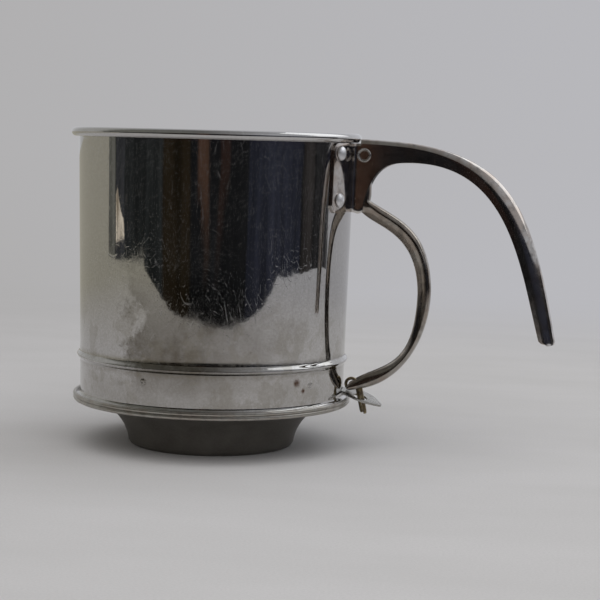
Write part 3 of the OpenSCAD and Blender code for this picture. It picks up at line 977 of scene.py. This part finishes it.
# ---------------------------------------------------------------- drive link
def leaf_frame():
    """The leaf's own frame, turned down from the strip at the bend."""
    turn = Matrix.Rotation(radians(LINK_DROP), 4, "Y") @ Matrix.Rotation(radians(LINK_TWIST), 4, "X")
    return Matrix.Translation((LINK_BEND, 0, 0)) @ turn @ Matrix.Translation((-LINK_BEND, 0, 0))


def link_edges():
    """Stations along the strip with its two edges: round eye, strip and pointed leaf."""
    eye = LINK_W / 2 + 0.5
    w, m = LEAF_W / 2, LEAF_MIDDLE
    tip = 1.8
    stations = []
    for a in spread(180, 118, 8):
        c, s = unit(a)
        stations.append((eye * c, -eye * s, eye * s))
    stations += [(x, -LINK_W / 2, LINK_W / 2) for x in spread(-1.0, LINK_BEND - 2, 14)]
    leaf = ((0.0, -LINK_W / 2, LINK_W / 2), (1.8, m - w + 1.0, LINK_W / 2 + 0.7),
            (3.5, m - w + 0.4, m + w - 1.2), (5.6, m - w + 0.05, m + w - 0.3), (8.0, m - w, m + w),
            (10.0, m - w + 0.3, m + w - 0.3), (12.0, m - w + 1.0, m + w - 1.0),
            (13.4, m - w + 1.9, m + w - 1.9), (14.5, m - w + 2.9, m + w - 2.9))
    bend = [(x, -LINK_W / 2, LINK_W / 2) for x in (LINK_BEND - 1.2, LINK_BEND - 0.5)]
    stations += bend + [(LINK_BEND + x, a, b) for x, a, b in leaf]
    for a in (60, 45, 30, 15, 5):
        c, s = unit(a)
        centre = LINK_BEND + LEAF_LEN - tip
        stations.append((centre + tip * c, m - tip * s, m + tip * s))
    return stations


def make_link():
    leaf = leaf_frame()
    crank = CRANK_R * Vector(unit(CRANK_REST))
    base = (Matrix.Translation((crank.x, crank.y, LINK_Z))
            @ Matrix.Rotation(radians(LINK_ANGLE), 4, "Z"))
    rows = []
    for x, low, high in link_edges():
        row = []
        for y in spread(low, high, 8):
            flat = Vector((x, y, 0))
            share = smooth((x - LINK_BEND + 1.3) / 2.6)
            row.append(tuple(base @ flat.lerp(leaf @ flat, share)))
        rows.append(row)
    piece = make_piece("link_strip", grid(rows), "link", "link_strip", ["drive_link"])
    thicken(piece, LINK_T, 0, 0.14)
    up = base.to_3x3() @ leaf.to_3x3() @ Vector((0, 0, 1))
    hole = base @ leaf @ Vector((LINK_BEND + LINK_HOLE_AT[0], LINK_HOLE_AT[1], 0))
    crank_hole = 1.58
    cut(piece, [((crank.x, crank.y, LINK_Z), (0, 0, 1), crank_hole, 4), (hole, up, LINK_HOLE_R, 6)])


# ---------------------------------------------------------------- rivets, spring and pin
def make_rivets():
    """Four solid rivets: a domed head outside and a flat, slightly rounded one inside."""
    shapes = []
    base = HANDLE_SHEET + 0.08
    head = 2.8
    profile = [(0, -1.5), (1.7, -1.5), (2.15, -1.38), (2.4, -1.05), (2.4, -0.72), (1.5, -0.72),
               (1.5, base), (head - 0.12, base), (head, base + 0.12), (head, base + 0.28)]
    profile += [(head * cos(radians(a)), base + 0.3 + 1.5 * sin(radians(a)))
                for a in (10, 20, 30, 40, 50, 60, 68, 76, 83)]
    profile.append((0, base + 1.8))
    for side in (-1, 1):
        for z in RIVET_Z:
            c, s = unit(side * RIVET_ANGLE)
            r = wall_r(z)
            shapes.append(turned(profile, 48, (r * c, r * s, z), (c, s, 0)))
    make_piece("handle_rivet_heads", join(*shapes), "sifter", "bright_rivet", ["handle_rivets"], 45)


def make_pivot_rivet():
    """The hollow pivot, its ends rolled over into rings."""
    head = HANDLE_W / 2 + 0.02
    top = [(1.3, head - 2.0), (1.32, head - 0.7), (1.5, head - 0.25), (1.85, head + 0.15),
           (2.12, head + 0.5), (2.27, head + 0.72), (2.43, head + 0.8), (2.62, head + 0.72),
           (2.78, head + 0.48), (2.85, head + 0.15), (2.8, head), (2.0, head)]
    low = [(r, -h) for r, h in reversed(top)]
    tubular = turned(top + low + top[:1], 64, (PIVOT[0], 0, PIVOT[1]), (0, -1, 0))
    make_piece("pivot_rivet_rolled", tubular, "sifter", "bright_rivet", ["pivot_rivet"], 50,
               "rivet_ring")


def make_spring():
    """The torsion spring round the pivot, with one leg up the handle and one down."""
    wire, coil_r, turns, width, steps = 0.4, 3.1, 4.25, 4.2, 40
    half = width / 2
    count = int(turns * steps)
    path = [(6.5, -half, 4.3), (4.6, -half, 4.05), (2.8, -half, 3.75), (1.4, -half, 3.42)]
    for i in range(count + 1):
        c, s = unit(90 - 360 * turns * i / count)
        path.append((coil_r * c, -half + width * i / count, coil_r * s))
    path += [(2.6, half, -2.6), (2.35, half, -3.9), (1.75, half, -6.4), (1.6, half, -8.6),
             (1.6, half, -11.0)]
    placed = [(PIVOT[0] + x, y, PIVOT[1] + z) for x, y, z in path]
    make_piece("return_spring_wire", tube(placed, wire, 10), "sifter", "spring_wire",
               ["return_spring"], 60)


def make_cotter_pin():
    """Half-round brass wire folded to an eye, with its two legs together and one a little longer."""
    lean = Matrix.Translation(PIN_AT) @ Matrix.Rotation(radians(-PIN_LEAN), 4, "Y")
    shapes = []
    for side in (-1, 1):
        long = -7.0 if side > 0 else -6.2
        rows = []
        for k in range(12):
            h = mix(long, 5.2, k / 11)
            taper = 1.0 if k > 0 else 0.85
            flat = PIN_R * 0.98 * taper
            ring = [(side * 0.1, y) for y in spread(-flat, flat, 4)]
            dome = arc((side * 0.1, 0), PIN_R * 0.96 * taper, 90, 90 - side * 180, 12)[1:-1]
            rows.append([lean @ Vector((x, y, h)) for x, y in ring + dome])
        width = len(rows[0])
        points = [p for row in rows for p in row]
        faces = [(i * width + k, i * width + (k + 1) % width,
                  (i + 1) * width + (k + 1) % width, (i + 1) * width + k)
                 for i in range(len(rows) - 1) for k in range(width)]
        faces.append(tuple(range(width)))
        faces.append(tuple(range((len(rows) - 1) * width, len(rows) * width)))
        shapes.append((points, faces))
    eye = []
    for a in spread(-62, 262, 44):
        c, s = unit(a - 12)
        eye.append(lean @ Vector((PIN_EYE_AT[0] + PIN_EYE_R * c, 0, PIN_EYE_AT[1] + PIN_EYE_R * s)))
    shapes.append(tube(eye, PIN_WIRE_R, 12))
    make_piece("cotter_pin_brass", join(*shapes), "trigger", "cotter_brass", ["cotter_pin"], 50)


def paint_cad_nodes():
    """CAD parts whose shape is right keep it and get a worked metal."""
    for name in ("bridge_strap", "pivot_stud", "upper_washer", "retaining_ring",
                 "agitator_hub", "agitator_disc", "crank_pin", "link_washer"):
        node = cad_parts[name]
        slots = node.data.materials
        if len(slots) == 0:
            slots.append(MATERIALS["plain_steel"])
        for i in range(len(slots)):
            slots[i] = MATERIALS["plain_steel"]


# ---------------------------------------------------------------- camera, floor and light
def around(right, toward, up=0.0):
    """A point given to the camera's right, towards it, and up, from the cup's axis."""
    c, s = unit(CAMERA_AZIMUTH)
    return Vector((right * c + toward * s, right * s - toward * c, up)) * MM


def add_camera():
    """The photograph's view: level with the rim, a little to the right of the cup's front."""
    camera = bpy.data.objects.new("photo_view", bpy.data.cameras.new("photo_view"))
    camera.data.sensor_width = 36.0
    camera.data.lens = CAMERA_LENS
    camera.data.clip_start = 0.01
    camera.data.clip_end = 50.0
    facing = (Matrix.Rotation(radians(CAMERA_AZIMUTH - CAMERA_PAN), 4, "Z")
              @ Matrix.Rotation(radians(90 - CAMERA_PITCH), 4, "X")
              @ Matrix.Rotation(radians(CAMERA_ROLL), 4, "Z"))
    camera.matrix_world = Matrix.Translation(around(0, CAMERA_FROM_AXIS, CAMERA_HEIGHT)) @ facing
    bpy.context.scene.collection.objects.link(camera)
    bpy.context.scene.camera = camera


def stage_sheet(name, points, faces, material, only_reflected=False):
    mesh = bpy.data.meshes.new(name)
    mesh.from_pydata(points, [], faces)
    mesh.materials.append(material)
    sheet = bpy.data.objects.new(name, mesh)
    bpy.context.scene.collection.objects.link(sheet)
    if only_reflected:
        for ray in ("camera", "diffuse", "shadow", "transmission"):
            setattr(sheet, "visible_" + ray, False)
    return sheet


BACKDROP_LEFT = (0.425, 0.418, 0.418)
BACKDROP_RIGHT = (0.480, 0.480, 0.505)
MIRRORED_LEFT = (0.36, 0.345, 0.29)
MIRRORED_RIGHT = (0.42, 0.42, 0.44)
SIDE_FADE = 0.35
# How far from the cup, in metres, the cloth turns into the backdrop's tone
CLOTH_FADE = (0.26, 0.75)


def side_tone(tree, left, right):
    """A tone that drifts from the left of the view to its right, by direction from the cup."""
    level = put(tree, "ShaderNodeVectorMath", {0: coords(tree)}, operation="NORMALIZE").outputs[0]
    side = measure(tree, "DOT_PRODUCT", level, around(1 / MM, 0))
    return tint(tree, ease(tree, side, -SIDE_FADE, SIDE_FADE), left, right)


def cloth_material():
    """Pale cloth: woven and lit near the object, and the backdrop's own even tone far from it."""
    material, tree = new_material("pale_cloth")
    shader = tree.nodes["Principled BSDF"]
    shader.inputs["Roughness"].default_value = 0.9
    shader.inputs["Specular IOR Level"].default_value = 0.1
    weave = grain(tree, 0.9, 2.0, 0.5)
    # Painted light and shade: the cloth's faint wrinkles are only broad lighter and darker tone on a
    # flat floor
    wrinkle_shade = grain(tree, 120, 3.0, 0.5, (1.0, 2.4, 1.0), (0, 0, 25))
    shade = tint(tree, ramp(tree, wrinkle_shade, (0.35, 0.0), (0.65, 1.0)), (0.61, 0.603, 0.606),
                 (0.645, 0.637, 0.643))
    shade = tint(tree, ramp(tree, weave, (0.35, 0.0), (0.7, 0.35)), shade, (0.53, 0.525, 0.53))
    link(tree, shade, shader.inputs["Base Color"])
    set_bump(tree, shader, weave, 0.05)
    seen = side_tone(tree, BACKDROP_LEFT, BACKDROP_RIGHT)
    # Painted reflection: far off, glossy rays see these darker glowing tones instead of the backdrop's
    mirrored = side_tone(tree, MIRRORED_LEFT, MIRRORED_RIGHT)
    ray = put(tree, "ShaderNodeLightPath").outputs["Is Glossy Ray"]
    far = put(tree, "ShaderNodeEmission", {"Color": tint(tree, ray, seen, mirrored)})
    share = ease(tree, measure(tree, "LENGTH", coords(tree)), *CLOTH_FADE)
    both = put(tree, "ShaderNodeMixShader", {0: share, 1: shader.outputs[0], 2: far.outputs[0]})
    link(tree, both.outputs[0], tree.nodes["Material Output"].inputs["Surface"])
    return material


# Where the cloth ends round the object: (to the right, towards the camera). It was shaped so
# that its reflection in the cup follows the photo's.
CLOTH_EDGE = ((-880, -110), (-860, -30), (-800, 130), (-680, 400), (-500, 405), (-340, 405),
              (-80, 412), (300, 410), (540, 430), (620, 330), (700, 200), (775, 40), (790, -20),
              (795, -70), (790, -150), (760, -220))
CURTAIN_HEIGHTS = (0.5, 20.0, 45.0, 70.0, 100.0, 210.0)
# The dim room beyond it: each panel's span, by bearing round the cup's axis with 0 towards the
# camera, and its tone. Spans and tones were matched to what the photo's cup reflects.
ROOM_DARK = (0.016, 0.016, 0.018)
ROOM_PANELS = {
    "pale wall on the left": (-130, -89, (0.17, 0.17, 0.15)),
    "door frame": (-88, -78, (0.070, 0.074, 0.080)),
    "grey-green wall": (-78, -42, (0.033, 0.036, 0.037)),
    "brown door": (-42, -20, (0.030, 0.022, 0.014)),
    "blue-grey wall": (25, 73, (0.037, 0.040, 0.058)),
    "second door frame": (74, 86, (0.046, 0.042, 0.042)),
    "shade on the right": (87, 103, (0.030, 0.030, 0.032)),
    "pale wall on the right": (103, 130, (0.11, 0.11, 0.115)),
}
# Two posts that lean together and fade towards the floor
COPPER_POSTS = ((-14, -6, (0.10, 0.058, 0.041)), (3, 10, (0.050, 0.031, 0.027)))
POSTS_MEET = -3


def within(angle, low, high):
    """1 between two angles and 0 outside them, with an edge 2 degrees wide."""
    return smooth((angle - low) / 2 + 0.5) * smooth((high - angle) / 2 + 0.5)


def room_tone(bearing, height):
    """The room's colour at a bearing and a height, with soft edges between its panels."""
    tone = Vector(ROOM_DARK)
    for low, high, panel in ROOM_PANELS.values():
        tone = tone.lerp(Vector(panel), within(bearing, low, high))
    lift = smooth((height - 15) / 85)
    leant = POSTS_MEET + (bearing - POSTS_MEET) * mix(2.2, 1.0, lift)
    for low, high, post in COPPER_POSTS:
        tone = tone.lerp(Vector(post), lift * within(leant, low, high))
    return tone


def glowing(name, colour_of):
    """A material that only gives off light, of the colour that colour_of(tree) makes."""
    material, tree = new_material(name)
    tree.nodes.clear()
    emit = put(tree, "ShaderNodeEmission", {"Color": colour_of(tree)})
    link(tree, emit.outputs[0], put(tree, "ShaderNodeOutputMaterial").inputs["Surface"])
    return material


def room_shade(tree):
    """The tone painted on the curtain, clouded."""
    tone = put(tree, "ShaderNodeVertexColor", layer_name="tone").outputs["Color"]
    cloud = ramp(tree, grain(tree, 90, 3.0, 0.6, (1.0, 1.0, 0.4)), (0.3, 0.35), (0.7, 1.0))
    return put(tree, "ShaderNodeVectorMath", {0: tone, 1: cloud}, operation="MULTIPLY").outputs[0]


def add_dark_room():
    """A dim curtain round the cloth's edge that only reflections see."""
    line = []
    for (a, b), (c, d) in zip(CLOTH_EDGE, CLOTH_EDGE[1:]):
        count = max(2, int(hypot(c - a, d - b) / 8))
        line += [(mix(a, c, k / count), mix(b, d, k / count)) for k in range(count)]
    rows = []
    tones = []
    for height in CURTAIN_HEIGHTS:
        row = []
        for right, toward in line:
            ragged = 6 * noise.noise(Vector((right / 40, toward / 40, 0)))
            row.append(around(right, toward + ragged, height))
            tones.append((*room_tone(degrees(atan2(right, toward)), height), 1.0))
        rows.append(row)
    curtain = stage_sheet("dim_room", *grid(rows), glowing("dim_room", room_shade), True)
    shades = curtain.data.color_attributes.new("tone", "FLOAT_COLOR", "POINT")
    for mark, shade in zip(shades.data, tones):
        mark.color = shade


# The pale gap low on the room's left side: its corners, by bearing and height
OPENING = ((-88.0, 16), (-88.0, 62), (-86.0, 70), (-82.5, 46), (-79.0, 34), (-78.5, 16))
OPENING_FAR = 790


def opening_glow(tree):
    cloud = grain(tree, 45, 4.0, 0.65, (1.0, 1.0, 0.7))
    return ramp(tree, cloud, (0.40, (0.20, 0.16, 0.11)), (0.62, (0.78, 0.70, 0.58)), colour=True)


def add_bright_opening():
    """The pale gap, seen in the cup as a short bright streak."""
    points = []
    for bearing, height in OPENING:
        c, s = unit(bearing)
        points.append(around(OPENING_FAR * s, OPENING_FAR * c, height))
    stage_sheet("bright_opening", points, [tuple(range(len(points)))],
                glowing("bright_opening", opening_glow), True)


LAMP_AIM = (0.02, 0.0, 0.06)


def add_area(name, at, size, power, colour, mirrored=True):
    """A soft lamp, aimed inside the cup, a little towards the handle."""
    lamp = bpy.data.lights.new(name, "AREA")
    lamp.shape = "RECTANGLE"
    lamp.size, lamp.size_y = size
    lamp.energy = power
    lamp.color = colour
    made = bpy.data.objects.new(name, lamp)
    made.location = at
    made.visible_glossy = mirrored
    made.rotation_euler = (Vector(LAMP_AIM) - at).to_track_quat("-Z", "Y").to_euler()
    bpy.context.scene.collection.objects.link(made)


def add_world():
    """Pale surround: even behind the object, and a little dimmer and warmer on the left."""
    world = bpy.data.worlds.new("pale_surround")
    world.use_nodes = True
    tree = world.node_tree
    where = coords(tree, "Generated")
    side = measure(tree, "DOT_PRODUCT", where, around(1 / MM, 0))
    depth = measure(tree, "DOT_PRODUCT", where, around(0, 1 / MM))
    lit = tint(tree, ease(tree, side, -1.0, 1.0, "LINEAR"), (0.36, 0.345, 0.315), (0.48, 0.485, 0.51))
    seen = tint(tree, ease(tree, side, -SIDE_FADE, SIDE_FADE), BACKDROP_LEFT, BACKDROP_RIGHT)
    across = math(tree, "MULTIPLY_ADD", side, 0.5, 0.5)
    front = ramp(tree, across, (0.0, (0.17, 0.17, 0.15)), (0.42, (0.16, 0.16, 0.155)),
                 (0.62, (0.29, 0.29, 0.30)), (0.80, (0.46, 0.47, 0.50)), colour=True)
    distant = ramp(tree, across, (0.2, (0.42, 0.42, 0.41)), (0.6, (0.62, 0.63, 0.67)), colour=True)
    mirrored = tint(tree, ease(tree, depth, -0.05, -0.35, "LINEAR"), front, distant)
    rays = put(tree, "ShaderNodeLightPath").outputs
    shown = tint(tree, rays["Is Camera Ray"], lit, seen)
    link(tree, tint(tree, rays["Is Glossy Ray"], shown, mirrored),
         tree.nodes["Background"].inputs["Color"])
    bpy.context.scene.world = world


def set_stage():
    reach = 8.0
    corners = [(-reach, -reach, 0), (reach, -reach, 0), (reach, reach, 0), (-reach, reach, 0)]
    stage_sheet("floor", corners, [(0, 1, 2, 3)], cloth_material())
    add_dark_room()
    add_bright_opening()
    add_world()
    add_area("overhead", around(-50, 750, 1500), (2.4, 1.8), 14.0, (1.0, 0.99, 0.98),
             mirrored=False)
    add_area("window", around(900, -300, 900), (1.0, 1.0), 3.0, (0.95, 0.98, 1.0))
    bpy.context.scene.view_settings.view_transform = "Standard"


add_camera()
make_cup()
make_seam()
make_foot()
make_screen()
make_agitator_wires()
make_handle()
make_rivets()
make_pivot_rivet()
make_spring()
make_trigger()
make_link()
make_cotter_pin()
paint_cad_nodes()
set_stage()
